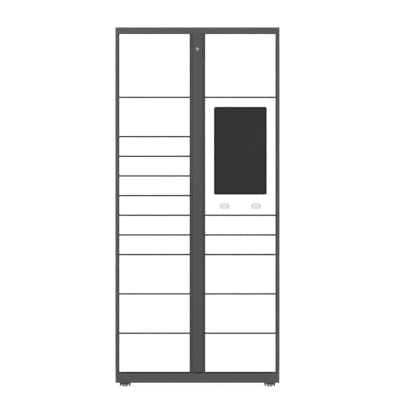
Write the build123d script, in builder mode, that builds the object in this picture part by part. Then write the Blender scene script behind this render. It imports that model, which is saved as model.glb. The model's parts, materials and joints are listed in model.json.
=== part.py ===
from build123d import *
import os

# Parcel locker: two columns of steel compartments around a service pillar.
# All sizes are in millimetres. The front faces -Y, +X is to the right, +Z is up,
# and the origin is on the floor below the middle of the cabinet.

# Overall size
WIDTH = 960.0
DEPTH = 500.0
HEIGHT = 2101.5

# Sheet steel
SHEET = 1.5
DOOR_SHEET = 1.2
PANEL_SHEET = 2.0

# Main planes
LOCK_RIM = 2.0  # the service lock's rim is the foremost surface
FRONT = -DEPTH / 2 + LOCK_RIM  # faces of the frame and of every door
BACK = DEPTH / 2
INNER_BACK = BACK - SHEET
FRAME_DEPTH = 20.0
FRAME_BACK = FRONT + FRAME_DEPTH
HALF_WIDTH = WIDTH / 2
INNER_SIDE = HALF_WIDTH - SHEET
FLANGE_WIDTH = 20.0
FLANGE_FRONT = INNER_BACK - SHEET

# Front frame
POST_WIDTH = 19.0
POST_INNER = HALF_WIDTH - POST_WIDTH
BASE_LOW = 21.0
BASE_TOP = 77.5
TOP_LOW = 2065.0
TUBE_WALL = 2.0
FRAME_ROUND = 1.5

# Doors: widths, gaps and the stack of compartments, counted in pitches from the bottom
PITCH = 115.0
GAP = 9.0
SIDE_GAP = 4.5
FIRST_LINE = 82.0
TOP_LINE = 2066.25
LEFT_STACK = [2, 2, 2, 1, 1, 1, 1, 1, 1, 2]
RIGHT_STACK = [2, 2, 2, 1, 1, 6]
DOOR_THICK = 18.0
DOOR_BACK = FRONT + DOOR_THICK
DOOR_OUTER = POST_INNER - SIDE_GAP
PILLAR_HALF = 41.0
DOOR_INNER = PILLAR_HALF + SIDE_GAP
LINER_SHEET = 1.0
EDGE_ROUND = 0.9

# Door stops and shelves
STOP_HALF = 12.0
STOP_HEIGHT = 14.0
STOP_FRONT = FRAME_BACK - SHEET
STOP_OUTER = 436.0

# Door pivots
HINGE_X = 450.0
HINGE_Y = FRONT + 6.0
PIN_RADIUS = 3.0
PIN_CLEARANCE = 0.05
PIN_REACH = 10.5
TAB_INNER = 446.0
TAB_HALF = 1.5
TAB_DEPTH = 10.0

# Pillar cover and its pivots
COVER_HALF = 28.5
COVER_LOW = 84.0
COVER_TOP = 2064.0
COVER_DEPTH = 10.0
FLANGE_INNER = 30.0
COVER_HINGE_X = -20.5
COVER_HINGE_Y = FRONT + 4.0
COVER_PIN_RADIUS = 2.0
COVER_PIN_REACH = 8.0
COVER_TAB_HALF = 5.0

# Service lock in the pillar cover
LOCK_Z = 1975.0
LOCK_RIM_RADIUS = 9.5
BARREL_RADIUS = 8.5
BARREL_BACK = FRONT + 11.0
PLUG_RADIUS = 6.0
PLUG_FRONT = -DEPTH / 2 + 0.4
PLUG_BACK = FRONT + 11.5
CAM_THICK = 2.5
CAM_LENGTH = 30.0
CAM_WIDTH = 13.0
NUT_RADIUS = 13.0
NUT_THICK = 5.5
KEYWAY_WIDTH = 1.4
KEYWAY_HEIGHT = 7.0
KEYWAY_DEPTH = 4.0
CAM_SCREW_RADIUS = 4.0
CAM_SCREW_HEAD = 2.5
KEEPER_INNER = 31.0
KEEPER_HALF = 8.0

# Electric locks: a swinging lever in the pillar catches a staple on each door
LEVER_X = 22.0
LEVER_Y = -200.0
LEVER_LENGTH = 31.0
LEVER_HUB = 7.0
LEVER_HALF = 4.0
LEVER_TIP = 2.5
LEVER_THICK = 5.0
LEVER_PIN = 2.95
LEVER_BORE = 3.0
RELEASE_ANGLE = 60.0
CASE_WIDTH = 28.0
CASE_FRONT = -190.0
CASE_BACK = -130.0
CASE_HALF = 22.0
EAR_LOW = 3.0
EAR_HIGH = 6.0
SLOT_FRONT = -233.0
SLOT_BACK = -192.0
SLOT_HALF = 6.0
STAPLE_NEAR = 48.0
STAPLE_FAR = 54.0
STAPLE_BACK = -189.0
STAPLE_BAR = 6.0
STAPLE_HALF = 7.0
STAPLE_CLEAR = 4.0

# Control panel
SCREEN_X = 251.0
SCREEN_Z = 1379.5
SCREEN_WIDTH = 308.0
SCREEN_HEIGHT = 512.5
SCREEN_ROUND = 10.0
SCREEN_CLEARANCE = 0.5
MODULE_RIM = 11.0
MODULE_DEPTH = 43.0
WINDOW_OFFSET = 92.0
WINDOW_Z = 1056.0
WINDOW_WIDTH = 62.0
WINDOW_HEIGHT = 36.0
WINDOW_FLAT = 38.0
WINDOW_CLEARANCE = 0.4
READER_RIM = 6.0
READER_DEPTH = 30.0
RIB_REACH = 20.0
RIB_HALF = 40.0

# Display module: a chassis with a narrower housing on its back, vented by slots
HOUSING_INSET = 30.0
HOUSING_MARGIN = 60.0
MODULE_SLOT = 150.0
MODULE_SLOT_HEIGHT = 5.0
MODULE_SLOT_PITCH = 14.0
MODULE_SLOTS = 12

# Computer and power supply on the back wall
COMPUTER_PLACE = (210.0, 1260.0)
COMPUTER_SIZE = (220.0, 160.0)
COMPUTER_DEPTH = 60.0
FIN_DEPTH = 14.0
FIN_SLOT = 6.0
FIN_PITCH = 16.0
FIN_SLOTS = 13
SUPPLY_PLACE = (405.0, 1270.0)
SUPPLY_SIZE = (90.0, 200.0)
SUPPLY_DEPTH = 50.0
SUPPLY_SLOT = 60.0
SUPPLY_SLOT_HEIGHT = 5.0
SUPPLY_SLOT_PITCH = 12.0
SUPPLY_SLOTS = 10
SUPPLY_SLOT_DEPTH = 3.0

# Adjustable feet
FOOT_RADIUS = 14.5
FOOT_SHOULDER = 8.0
WHEEL_LOW = 9.0
WHEEL_RADIUS = 20.0
FOOT_TOP = 14.0
STUD_RADIUS = 5.0
STUD_TOP = 55.0
BOSS_LOW = 14.5
BOSS_WIDTH = 56.0
BOSS_DEPTH = 46.0
CHEEK_LOW = 3.0
CHEEK_THICK = 5.0
BORE_TOP = 62.0
FRONT_FOOT = (424.0, -205.0)
REAR_FOOT = (424.0, 205.5)

# Back panel
ANCHOR_X = 380.0
ANCHOR_LOW = 430.0
ANCHOR_HIGH = 1880.0
ANCHOR_RADIUS = 5.5
ENTRY_Z = 1090.0
ENTRY_RADIUS = 12.0
GLAND_RADIUS = 22.0
GLAND_THICK = 3.0
VENT_Z = 1600.0
VENT_LENGTH = 90.0
VENT_HEIGHT = 6.0
VENT_COLUMN_PITCH = 110.0
VENT_ROW_PITCH = 16.0
VENT_ROWS = 7


def block(x, y, z):
    """A plain box between three pairs of limits."""
    with BuildPart() as piece:
        with BuildSketch(Plane.XY.offset(z[0])):
            with Locations(((x[0] + x[1]) / 2, (y[0] + y[1]) / 2)):
                Rectangle(abs(x[1] - x[0]), abs(y[1] - y[0]))
        extrude(amount=z[1] - z[0])
    return piece.part


def tube(x, y, z, wall=TUBE_WALL):
    """A box-section rail with welded end caps, between three pairs of limits."""
    middle = ((x[0] + x[1]) / 2, (y[0] + y[1]) / 2)
    across = (abs(x[1] - x[0]), abs(y[1] - y[0]))
    with BuildPart() as piece:
        with BuildSketch(Plane.XY.offset(z[0])):
            with Locations(middle):
                Rectangle(*across)
        extrude(amount=z[1] - z[0])
        with BuildSketch(Plane.XY.offset(z[0] + wall)):
            with Locations(middle):
                Rectangle(across[0] - 2 * wall, across[1] - 2 * wall)
        extrude(amount=z[1] - z[0] - 2 * wall, mode=Mode.SUBTRACT)
    return piece.part


def disc(x, z, radius, front, back, bore=0.0):
    """A round piece, or a ring, whose axis runs front to back."""
    with BuildPart() as piece:
        with BuildSketch(Plane.XZ.offset(-front)):
            with Locations((x, z)):
                Circle(radius)
                if bore:
                    Circle(bore, mode=Mode.SUBTRACT)
        extrude(amount=front - back)
    return piece.part


def save(name, *pieces):
    """Write one node; the pieces in it stay separate solids."""
    solids = [solid for piece in pieces for solid in piece.solids()]
    node = Compound(solids)
    node.label = name
    export_step(node, f"parts/{name}.step")


def stack_lines(stack):
    """Heights of the gaps between compartments, from the base to the top rail."""
    lines = [FIRST_LINE]
    for pitches in stack:
        lines.append(lines[-1] + pitches * PITCH)
    lines.append(TOP_LINE)
    return lines


def stack_doors(stack):
    """Lower and upper edge of each door, from the top down."""
    lines = stack_lines(stack)
    spans = [(low + GAP / 2, high - GAP / 2) for low, high in zip(lines, lines[1:])]
    return spans[::-1]


# Cabinet -------------------------------------------------------------------


def rounded_tube(x, y, z, ends):
    """A rail whose front face has some of its edges rounded: ends lists (axis, first or last)."""
    rail = tube(x, y, z)
    front_edges = rail.faces().sort_by(Axis.Y)[0].edges()
    picked = [front_edges.sort_by(axis)[place] for axis, place in ends]
    return fillet(picked, FRAME_ROUND)


def make_side_panel(name, side):
    outermost = 0 if side < 0 else -1
    post = rounded_tube(
        (side * POST_INNER, side * HALF_WIDTH),
        (FRONT, FRAME_BACK),
        (BASE_LOW, HEIGHT),
        [(Axis.X, outermost), (Axis.Z, 0), (Axis.Z, -1)],
    )
    skin = block(
        (side * INNER_SIDE, side * HALF_WIDTH),
        (FRAME_BACK, INNER_BACK),
        (BASE_LOW, HEIGHT - SHEET),
    )
    flange = block(
        (side * (INNER_SIDE - FLANGE_WIDTH), side * INNER_SIDE),
        (FLANGE_FRONT, INNER_BACK),
        (BASE_TOP + SHEET, TOP_LOW),
    )
    save(name, post, skin, flange)


def make_top_cover():
    front_rail = rounded_tube(
        (-POST_INNER, POST_INNER),
        (FRONT, FRAME_BACK),
        (TOP_LOW, HEIGHT),
        [(Axis.Z, -1)],
    )
    rear_rail = tube(
        (-INNER_SIDE, INNER_SIDE),
        (INNER_BACK - FLANGE_WIDTH, INNER_BACK),
        (TOP_LOW + SHEET, HEIGHT - SHEET),
    )
    roof = block((-HALF_WIDTH, HALF_WIDTH), (FRAME_BACK, INNER_BACK), (HEIGHT - SHEET, HEIGHT))
    ceiling = block((-INNER_SIDE, INNER_SIDE), (FRAME_BACK, INNER_BACK), (TOP_LOW, TOP_LOW + SHEET))
    stops = [
        block(
            (side * PILLAR_HALF, side * STOP_OUTER),
            (STOP_FRONT, FRAME_BACK),
            (TOP_LOW - STOP_HEIGHT, TOP_LOW),
        )
        for side in (-1, 1)
    ]
    save("top_cover", front_rail, rear_rail, roof, ceiling, *stops)


def make_foot_boss(x, y):
    """Block under a corner of the base, bored for a foot's stud, with a cheek on each side."""
    with BuildPart() as boss:
        with BuildSketch(Plane.XY.offset(BOSS_LOW)):
            with Locations((x, y)):
                Rectangle(BOSS_WIDTH, BOSS_DEPTH)
        extrude(amount=BASE_TOP - BOSS_LOW)
        with BuildSketch(Plane.XY.offset(BOSS_LOW)):
            with Locations((x, y)):
                Circle(STUD_RADIUS + PIN_CLEARANCE)
        extrude(amount=BORE_TOP - BOSS_LOW, mode=Mode.SUBTRACT)
        with BuildSketch(Plane.XY.offset(CHEEK_LOW)):
            with Locations((x, y)):
                with GridLocations(BOSS_WIDTH - CHEEK_THICK, 0, 2, 1):
                    Rectangle(CHEEK_THICK, BOSS_DEPTH)
        extrude(amount=BOSS_LOW - CHEEK_LOW)
    return boss.part


def foot_places():
    """Name and place of each foot."""
    places = []
    for row, spot in (("front", FRONT_FOOT), ("rear", REAR_FOOT)):
        for word, side in (("left", -1), ("right", 1)):
            places.append((f"foot_{row}_{word}", side * spot[0], spot[1]))
    return places


def make_base_frame():
    height = (BASE_LOW, BASE_TOP)
    rear = INNER_BACK - FLANGE_WIDTH
    front_rail = rounded_tube(
        (-POST_INNER, POST_INNER),
        (FRONT, FRAME_BACK),
        height,
        [(Axis.Z, 0)],
    )
    rear_rail = tube((-INNER_SIDE, INNER_SIDE), (rear, INNER_BACK), height)
    side_rails = [
        tube((side * (INNER_SIDE - FLANGE_WIDTH), side * INNER_SIDE), (FRAME_BACK, rear), height)
        for side in (-1, 1)
    ]
    floor = block((-INNER_SIDE, INNER_SIDE), (FRAME_BACK, FLANGE_FRONT), (BASE_TOP, BASE_TOP + SHEET))
    stops = [
        block(
            (side * PILLAR_HALF, side * STOP_OUTER),
            (STOP_FRONT, FRAME_BACK),
            (BASE_TOP, BASE_TOP + STOP_HEIGHT),
        )
        for side in (-1, 1)
    ]
    bosses = [make_foot_boss(x, y) for name, x, y in foot_places()]
    save("base_frame", front_rail, rear_rail, *side_rails, floor, *stops, *bosses)


def make_back_panel():
    """Rear sheet with wall-anchor holes, vents and the mains entry with its gland."""
    with BuildPart() as sheet:
        with BuildSketch(Plane.XZ.offset(-INNER_BACK)):
            with Locations((0, (BASE_LOW + HEIGHT) / 2)):
                Rectangle(WIDTH, HEIGHT - BASE_LOW)
            with Locations((0, (ANCHOR_LOW + ANCHOR_HIGH) / 2)):
                with GridLocations(2 * ANCHOR_X, ANCHOR_HIGH - ANCHOR_LOW, 2, 2):
                    Circle(ANCHOR_RADIUS, mode=Mode.SUBTRACT)
            with Locations((SCREEN_X, ENTRY_Z)):
                Circle(ENTRY_RADIUS, mode=Mode.SUBTRACT)
            with Locations((SCREEN_X, VENT_Z)):
                with GridLocations(VENT_COLUMN_PITCH, VENT_ROW_PITCH, 2, VENT_ROWS):
                    SlotOverall(VENT_LENGTH, VENT_HEIGHT, mode=Mode.SUBTRACT)
        extrude(amount=-SHEET)
    gland = disc(SCREEN_X, ENTRY_Z, GLAND_RADIUS, INNER_BACK - GLAND_THICK, INNER_BACK, ENTRY_RADIUS)
    save("back_panel", sheet.part, gland)


def make_shelves(name, side, stack):
    """One shelf, with the door stop along its front edge, at each gap between compartments."""
    pieces = []
    for line in stack_lines(stack)[1:-1]:
        pieces.append(
            block(
                (side * PILLAR_HALF, side * INNER_SIDE),
                (FRAME_BACK, FLANGE_FRONT),
                (line - SHEET / 2, line + SHEET / 2),
            )
        )
        pieces.append(
            block(
                (side * PILLAR_HALF, side * STOP_OUTER),
                (STOP_FRONT, FRAME_BACK),
                (line - STOP_HALF, line + STOP_HALF),
            )
        )
    save(name, *pieces)


def lock_heights(stack):
    """Heights of the electric locks, one in the middle of each door, from the top down."""
    return [(low + high) / 2 for low, high in stack_doors(stack)]


def make_partition_wall(side, stack):
    """Wall between compartments and pillar, with a slot for every lock lever."""
    depth = INNER_BACK - FRONT - SHEET
    with BuildPart() as wall:
        with BuildSketch(Plane.YZ.offset(side * PILLAR_HALF)):
            with Locations(((FRONT + SHEET + INNER_BACK) / 2, (BASE_TOP + SHEET + TOP_LOW) / 2)):
                Rectangle(depth, TOP_LOW - BASE_TOP - SHEET)
            with Locations(*[((SLOT_FRONT + SLOT_BACK) / 2, z) for z in lock_heights(stack)]):
                Rectangle(SLOT_BACK - SLOT_FRONT, 2 * SLOT_HALF, mode=Mode.SUBTRACT)
        extrude(amount=-side * SHEET)
    return wall.part


def make_pillar_partitions():
    walls = [make_partition_wall(-1, LEFT_STACK), make_partition_wall(1, RIGHT_STACK)]
    flanges = [
        block((side * FLANGE_INNER, side * PILLAR_HALF), (FRONT, FRONT + SHEET), (BASE_TOP, TOP_LOW))
        for side in (-1, 1)
    ]
    keeper = block(
        (KEEPER_INNER, PILLAR_HALF - SHEET),
        (FRONT + SHEET, FRONT + COVER_DEPTH),
        (LOCK_Z - KEEPER_HALF, LOCK_Z + KEEPER_HALF),
    )
    save("pillar_partitions", *walls, *flanges, keeper)


def make_pivot(place, pin, radius, tab_x, tab_z):
    """Pivot pin between two heights, on a small bracket that reaches across tab_x."""
    x, y = place
    with BuildPart() as pivot:
        with BuildSketch(Plane.XY.offset(tab_z[0])):
            with Locations(((tab_x[0] + tab_x[1]) / 2, y)):
                Rectangle(abs(tab_x[1] - tab_x[0]), min(TAB_DEPTH, 2 * (y - FRONT) - 1))
        extrude(amount=tab_z[1] - tab_z[0])
        with BuildSketch(Plane.XY.offset(pin[0])):
            with Locations((x, y)):
                Circle(radius)
        extrude(amount=pin[1] - pin[0])
    return pivot.part


def make_door_pivots(side, stack):
    """One pivot in every gap, one standing on the base rail and one hanging from the top rail."""
    place = (side * HINGE_X, HINGE_Y)
    tab = (side * TAB_INNER, side * POST_INNER)
    pivots = []
    for line in stack_lines(stack)[1:-1]:
        pin = (line - PIN_REACH, line + PIN_REACH)
        bracket = (line - TAB_HALF, line + TAB_HALF)
        pivots.append(make_pivot(place, pin, PIN_RADIUS, tab, bracket))
    lowest_pin = (BASE_TOP, FIRST_LINE + PIN_REACH)
    lowest_bracket = (BASE_TOP, BASE_TOP + 2 * TAB_HALF)
    pivots.append(make_pivot(place, lowest_pin, PIN_RADIUS, tab, lowest_bracket))
    highest_pin = (TOP_LOW - PIN_REACH, TOP_LOW)
    highest_bracket = (TOP_LOW - 1, TOP_LOW)
    pivots.append(make_pivot(place, highest_pin, PIN_RADIUS, tab, highest_bracket))
    return pivots


def make_cover_pivots():
    """The two pivots of the pillar cover."""
    place = (COVER_HINGE_X, COVER_HINGE_Y)
    tab = (COVER_HINGE_X - COVER_TAB_HALF, COVER_HINGE_X + COVER_TAB_HALF)
    lower_pin = (BASE_TOP, COVER_LOW + COVER_PIN_REACH)
    lower_bracket = (BASE_TOP, BASE_TOP + 2 * TAB_HALF)
    upper_pin = (COVER_TOP - COVER_PIN_REACH, TOP_LOW)
    upper_bracket = (TOP_LOW - 0.5, TOP_LOW)
    return [
        make_pivot(place, lower_pin, COVER_PIN_RADIUS, tab, lower_bracket),
        make_pivot(place, upper_pin, COVER_PIN_RADIUS, tab, upper_bracket),
    ]


def make_hinge_pins():
    pivots = make_door_pivots(-1, LEFT_STACK) + make_door_pivots(1, RIGHT_STACK)
    save("hinge_pins", *pivots, *make_cover_pivots())


# Electric locks --------------------------------------------------------------


def make_lock_case(side, z):
    """Case on the partition, with two ears that carry the lever's pin."""
    outer = PILLAR_HALF - SHEET
    with BuildPart() as case:
        with BuildSketch(Plane.XY.offset(z - CASE_HALF)):
            with Locations((side * (outer - CASE_WIDTH / 2), (CASE_FRONT + CASE_BACK) / 2)):
                Rectangle(CASE_WIDTH, CASE_BACK - CASE_FRONT)
        extrude(amount=2 * CASE_HALF)
        chamfer(case.edges().filter_by(Axis.X), 2)
        for low in (z + EAR_LOW, z - EAR_HIGH):
            with BuildSketch(Plane.XY.offset(low)):
                with Locations((side * LEVER_X, (LEVER_Y + CASE_FRONT) / 2)):
                    Rectangle(2 * LEVER_HUB, CASE_FRONT - LEVER_Y)
                with Locations((side * LEVER_X, LEVER_Y)):
                    Circle(LEVER_HUB)
            extrude(amount=EAR_HIGH - EAR_LOW)
        with BuildSketch(Plane.XY.offset(z - EAR_HIGH)):
            with Locations((side * LEVER_X, LEVER_Y)):
                Circle(LEVER_PIN)
        extrude(amount=2 * EAR_HIGH)
    return case.part


def make_lock_cases():
    cases = [make_lock_case(-1, z) for z in lock_heights(LEFT_STACK)]
    cases += [make_lock_case(1, z) for z in lock_heights(RIGHT_STACK)]
    save("lock_cases", *cases)


def make_latch(name, side, z):
    """Lever of one lock, turned forward into the pillar: the released position."""
    lean = 180 + RELEASE_ANGLE if side < 0 else -RELEASE_ANGLE
    hub = Plane(origin=(side * LEVER_X, LEVER_Y, z - LEVER_THICK / 2)).rotated((0, 0, lean))
    with BuildPart() as lever:
        with BuildSketch(hub):
            Circle(LEVER_HUB)
            with BuildLine():
                Polyline(
                    (0, -LEVER_HALF),
                    (LEVER_LENGTH - 6, -LEVER_HALF),
                    (LEVER_LENGTH, -LEVER_TIP),
                    (LEVER_LENGTH, LEVER_TIP),
                    (LEVER_LENGTH - 6, LEVER_HALF),
                    (0, LEVER_HALF),
                    close=True,
                )
            make_face()
            Circle(LEVER_BORE, mode=Mode.SUBTRACT)
        extrude(amount=LEVER_THICK)
    save(name, lever.part)


def make_trunking():
    """Closed cable duct on the right-hand wall of the pillar."""
    outer = PILLAR_HALF - SHEET
    duct = tube((outer - 30, outer), (-60, 0), (BASE_TOP + 15, TOP_LOW - 15))
    save("cable_trunking", duct)


# Doors -----------------------------------------------------------------------


def make_staple(side, z):
    """Striker on the back of a door: a staple that the lock's lever reaches through."""
    with BuildPart() as staple:
        with BuildSketch(Plane.YZ.offset(side * STAPLE_NEAR)):
            with Locations(((DOOR_BACK + STAPLE_BACK) / 2, z)):
                Rectangle(STAPLE_BACK - DOOR_BACK, 2 * STAPLE_HALF)
            with Locations(((DOOR_BACK + STAPLE_BACK - STAPLE_BAR) / 2, z)):
                Rectangle(STAPLE_BACK - STAPLE_BAR - DOOR_BACK, 2 * STAPLE_CLEAR, mode=Mode.SUBTRACT)
        extrude(amount=side * (STAPLE_FAR - STAPLE_NEAR))
        bar_edges = staple.edges().filter_by(Axis.X).group_by(Axis.Y)[-1]
        fillet(bar_edges, 2)
    return staple.part


def make_door(name, side, low, high):
    """Double-skin door: front tray, inner liner and striker."""
    middle = (side * (DOOR_OUTER + DOOR_INNER) / 2, (low + high) / 2)
    width = DOOR_OUTER - DOOR_INNER
    inner = (width - 2 * DOOR_SHEET, high - low - 2 * DOOR_SHEET)
    with BuildPart() as tray:
        with BuildSketch(Plane.XZ.offset(-FRONT)):
            with Locations(middle):
                Rectangle(width, high - low)
        extrude(amount=-DOOR_THICK)
        with BuildSketch(Plane.XZ.offset(-FRONT - DOOR_SHEET)):
            with Locations(middle):
                Rectangle(*inner)
        extrude(amount=-DOOR_THICK, mode=Mode.SUBTRACT)
        with BuildSketch(Plane.XY.offset(low)):
            with Locations((side * HINGE_X, HINGE_Y)):
                Circle(PIN_RADIUS + PIN_CLEARANCE)
        extrude(amount=high - low, mode=Mode.SUBTRACT)
        fillet(tray.faces().sort_by(Axis.Y)[0].edges(), EDGE_ROUND)
    with BuildPart() as liner:
        with BuildSketch(Plane.XZ.offset(-DOOR_BACK)):
            with Locations(middle):
                Rectangle(*inner)
        extrude(amount=LINER_SHEET)
    save(name, tray.part, liner.part, make_staple(side, (low + high) / 2))


# Control panel -----------------------------------------------------------------


def window_outline(grow):
    """Points of a long six-sided window with pointed ends, about its centre."""
    tip = WINDOW_WIDTH / 2 + grow
    flat = WINDOW_FLAT / 2 + grow / 2
    half = WINDOW_HEIGHT / 2 + grow
    return [(-tip, 0), (-flat, half), (flat, half), (tip, 0), (flat, -half), (-flat, -half)]


def window_places():
    return [(SCREEN_X + side * WINDOW_OFFSET, WINDOW_Z) for side in (-1, 1)]


def make_control_panel(low, high):
    """Large service door that carries the screen and the two windows."""
    left, right = DOOR_INNER, DOOR_OUTER
    behind = (FRONT + PANEL_SHEET, DOOR_BACK)
    with BuildPart() as skin:
        with BuildSketch(Plane.XZ.offset(-FRONT)):
            with Locations(((left + right) / 2, (low + high) / 2)):
                Rectangle(right - left, high - low)
            with Locations((SCREEN_X, SCREEN_Z)):
                RectangleRounded(
                    SCREEN_WIDTH + 2 * SCREEN_CLEARANCE,
                    SCREEN_HEIGHT + 2 * SCREEN_CLEARANCE,
                    SCREEN_ROUND + SCREEN_CLEARANCE,
                    mode=Mode.SUBTRACT,
                )
            with Locations(*window_places()):
                Polygon(*window_outline(WINDOW_CLEARANCE), mode=Mode.SUBTRACT)
        extrude(amount=-PANEL_SHEET)
        outer_edges = skin.faces().sort_by(Axis.Y)[0].outer_wire().edges()
        fillet(outer_edges, EDGE_ROUND)
    sides = [
        block((left, left + PANEL_SHEET), behind, (low, high)),
        block((right - PANEL_SHEET, right), behind, (low, high)),
    ]
    ends = []
    for z in (low, high - PANEL_SHEET):
        with BuildPart() as end:
            with BuildSketch(Plane.XY.offset(z)):
                with Locations(((left + right) / 2, (behind[0] + behind[1]) / 2)):
                    Rectangle(right - left - 2 * PANEL_SHEET, behind[1] - behind[0])
                with Locations((HINGE_X, HINGE_Y)):
                    Circle(PIN_RADIUS + PIN_CLEARANCE, mode=Mode.SUBTRACT)
            extrude(amount=PANEL_SHEET)
        ends.append(end.part)
    middle = (low + high) / 2
    rib = block(
        (left + PANEL_SHEET, left + RIB_REACH),
        (DOOR_BACK - PANEL_SHEET, DOOR_BACK),
        (middle - RIB_HALF, middle + RIB_HALF),
    )
    save("control_panel", skin.part, *sides, *ends, rib, make_staple(1, middle))


def make_display_glass():
    with BuildPart() as glass:
        with BuildSketch(Plane.XZ.offset(-FRONT)):
            with Locations((SCREEN_X, SCREEN_Z)):
                RectangleRounded(SCREEN_WIDTH, SCREEN_HEIGHT, SCREEN_ROUND)
        extrude(amount=-PANEL_SHEET)
    save("display_glass", glass.part)


def make_display_module():
    """Flat chassis behind the glass, with a deeper electronics housing on its back."""
    front = FRONT + PANEL_SHEET
    with BuildPart() as module:
        with BuildSketch(Plane.XZ.offset(-front)):
            with Locations((SCREEN_X, SCREEN_Z)):
                Rectangle(SCREEN_WIDTH + 2 * MODULE_RIM, SCREEN_HEIGHT + 2 * MODULE_RIM)
        extrude(amount=-MODULE_DEPTH / 3)
        with BuildSketch(Plane.XZ.offset(-front - MODULE_DEPTH / 3)):
            with Locations((SCREEN_X, SCREEN_Z)):
                Rectangle(SCREEN_WIDTH - 2 * HOUSING_INSET, SCREEN_HEIGHT - 2 * HOUSING_MARGIN)
        extrude(amount=-2 * MODULE_DEPTH / 3)
        chamfer(module.faces().sort_by(Axis.Y)[-1].edges(), 4)
        with BuildSketch(Plane.XZ.offset(-front - MODULE_DEPTH + 2)):
            with Locations((SCREEN_X, SCREEN_Z)):
                with GridLocations(0, MODULE_SLOT_PITCH, 1, MODULE_SLOTS):
                    SlotOverall(MODULE_SLOT, MODULE_SLOT_HEIGHT)
        extrude(amount=-2, mode=Mode.SUBTRACT)
    save("display_module", module.part)


def make_scan_windows():
    panes = []
    for place in window_places():
        with BuildPart() as pane:
            with BuildSketch(Plane.XZ.offset(-FRONT)):
                with Locations(place):
                    Polygon(*window_outline(0))
            extrude(amount=-PANEL_SHEET)
        panes.append(pane.part)
    save("scan_windows", *panes)


def make_reader_modules():
    """Code scanner and card reader, one behind each window."""
    front = FRONT + PANEL_SHEET
    modules = []
    for place in window_places():
        with BuildPart() as module:
            with BuildSketch(Plane.XZ.offset(-front)):
                with Locations(place):
                    Rectangle(WINDOW_WIDTH + 2 * READER_RIM, WINDOW_HEIGHT + 2 * READER_RIM)
            extrude(amount=-READER_DEPTH)
            chamfer(module.faces().sort_by(Axis.Y)[-1].edges(), 3)
        modules.append(module.part)
    save("reader_modules", *modules)


def make_control_computer():
    """Finned computer case on the back wall of the control compartment."""
    face = Plane.XZ.offset(-INNER_BACK + COMPUTER_DEPTH)
    with BuildPart() as computer:
        with BuildSketch(face):
            with Locations(COMPUTER_PLACE):
                Rectangle(*COMPUTER_SIZE)
        extrude(amount=-COMPUTER_DEPTH)
        with BuildSketch(face):
            with Locations(COMPUTER_PLACE):
                with GridLocations(FIN_PITCH, 0, FIN_SLOTS, 1):
                    Rectangle(FIN_SLOT, COMPUTER_SIZE[1])
        extrude(amount=-FIN_DEPTH, mode=Mode.SUBTRACT)
    save("control_computer", computer.part)


def make_power_supply():
    """Vented power supply beside the computer."""
    face = Plane.XZ.offset(-INNER_BACK + SUPPLY_DEPTH)
    with BuildPart() as supply:
        with BuildSketch(face):
            with Locations(SUPPLY_PLACE):
                Rectangle(*SUPPLY_SIZE)
        extrude(amount=-SUPPLY_DEPTH)
        chamfer(supply.faces().sort_by(Axis.Y)[0].edges(), 3)
        with BuildSketch(face):
            with Locations(SUPPLY_PLACE):
                with GridLocations(0, SUPPLY_SLOT_PITCH, 1, SUPPLY_SLOTS):
                    SlotOverall(SUPPLY_SLOT, SUPPLY_SLOT_HEIGHT)
        extrude(amount=-SUPPLY_SLOT_DEPTH, mode=Mode.SUBTRACT)
    save("power_supply", supply.part)


# Pillar cover and service lock ---------------------------------------------------


def make_pillar_cover():
    """Narrow door over the pillar, with edges turned back all round."""
    middle = (0, (COVER_LOW + COVER_TOP) / 2)
    height = COVER_TOP - COVER_LOW
    with BuildPart() as cover:
        with BuildSketch(Plane.XZ.offset(-FRONT)):
            with Locations(middle):
                Rectangle(2 * COVER_HALF, height)
        extrude(amount=-COVER_DEPTH)
        with BuildSketch(Plane.XZ.offset(-FRONT - SHEET)):
            with Locations(middle):
                Rectangle(2 * COVER_HALF - 2 * SHEET, height - 2 * SHEET)
        extrude(amount=-COVER_DEPTH, mode=Mode.SUBTRACT)
        with BuildSketch(Plane.XZ.offset(-FRONT)):
            with Locations((0, LOCK_Z)):
                Circle(BARREL_RADIUS + PIN_CLEARANCE)
        extrude(amount=-SHEET, mode=Mode.SUBTRACT)
        with BuildSketch(Plane.XY.offset(COVER_LOW)):
            with Locations((COVER_HINGE_X, COVER_HINGE_Y)):
                Circle(COVER_PIN_RADIUS + PIN_CLEARANCE)
        extrude(amount=height, mode=Mode.SUBTRACT)
    save("pillar_cover", cover.part)


def make_lock_barrel():
    """Rimmed barrel of the service lock and the nut that clamps it in the cover."""
    with BuildPart() as barrel:
        with BuildSketch(Plane.XZ.offset(DEPTH / 2)):
            with Locations((0, LOCK_Z)):
                Circle(LOCK_RIM_RADIUS)
        extrude(amount=-LOCK_RIM)
        fillet(barrel.faces().sort_by(Axis.Y)[0].edges(), 0.8)
        with BuildSketch(Plane.XZ.offset(-FRONT)):
            with Locations((0, LOCK_Z)):
                Circle(BARREL_RADIUS)
        extrude(amount=FRONT - BARREL_BACK)
        with BuildSketch(Plane.XZ.offset(DEPTH / 2)):
            with Locations((0, LOCK_Z)):
                Circle(PLUG_RADIUS + PIN_CLEARANCE)
        extrude(amount=-LOCK_RIM + FRONT - BARREL_BACK, mode=Mode.SUBTRACT)
    with BuildPart() as nut:
        with BuildSketch(Plane.XZ.offset(-FRONT - SHEET)):
            with Locations((0, LOCK_Z)):
                RegularPolygon(NUT_RADIUS, 6)
                Circle(BARREL_RADIUS + PIN_CLEARANCE, mode=Mode.SUBTRACT)
        extrude(amount=-NUT_THICK)
    save("lock_barrel", barrel.part, nut.part)


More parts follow.
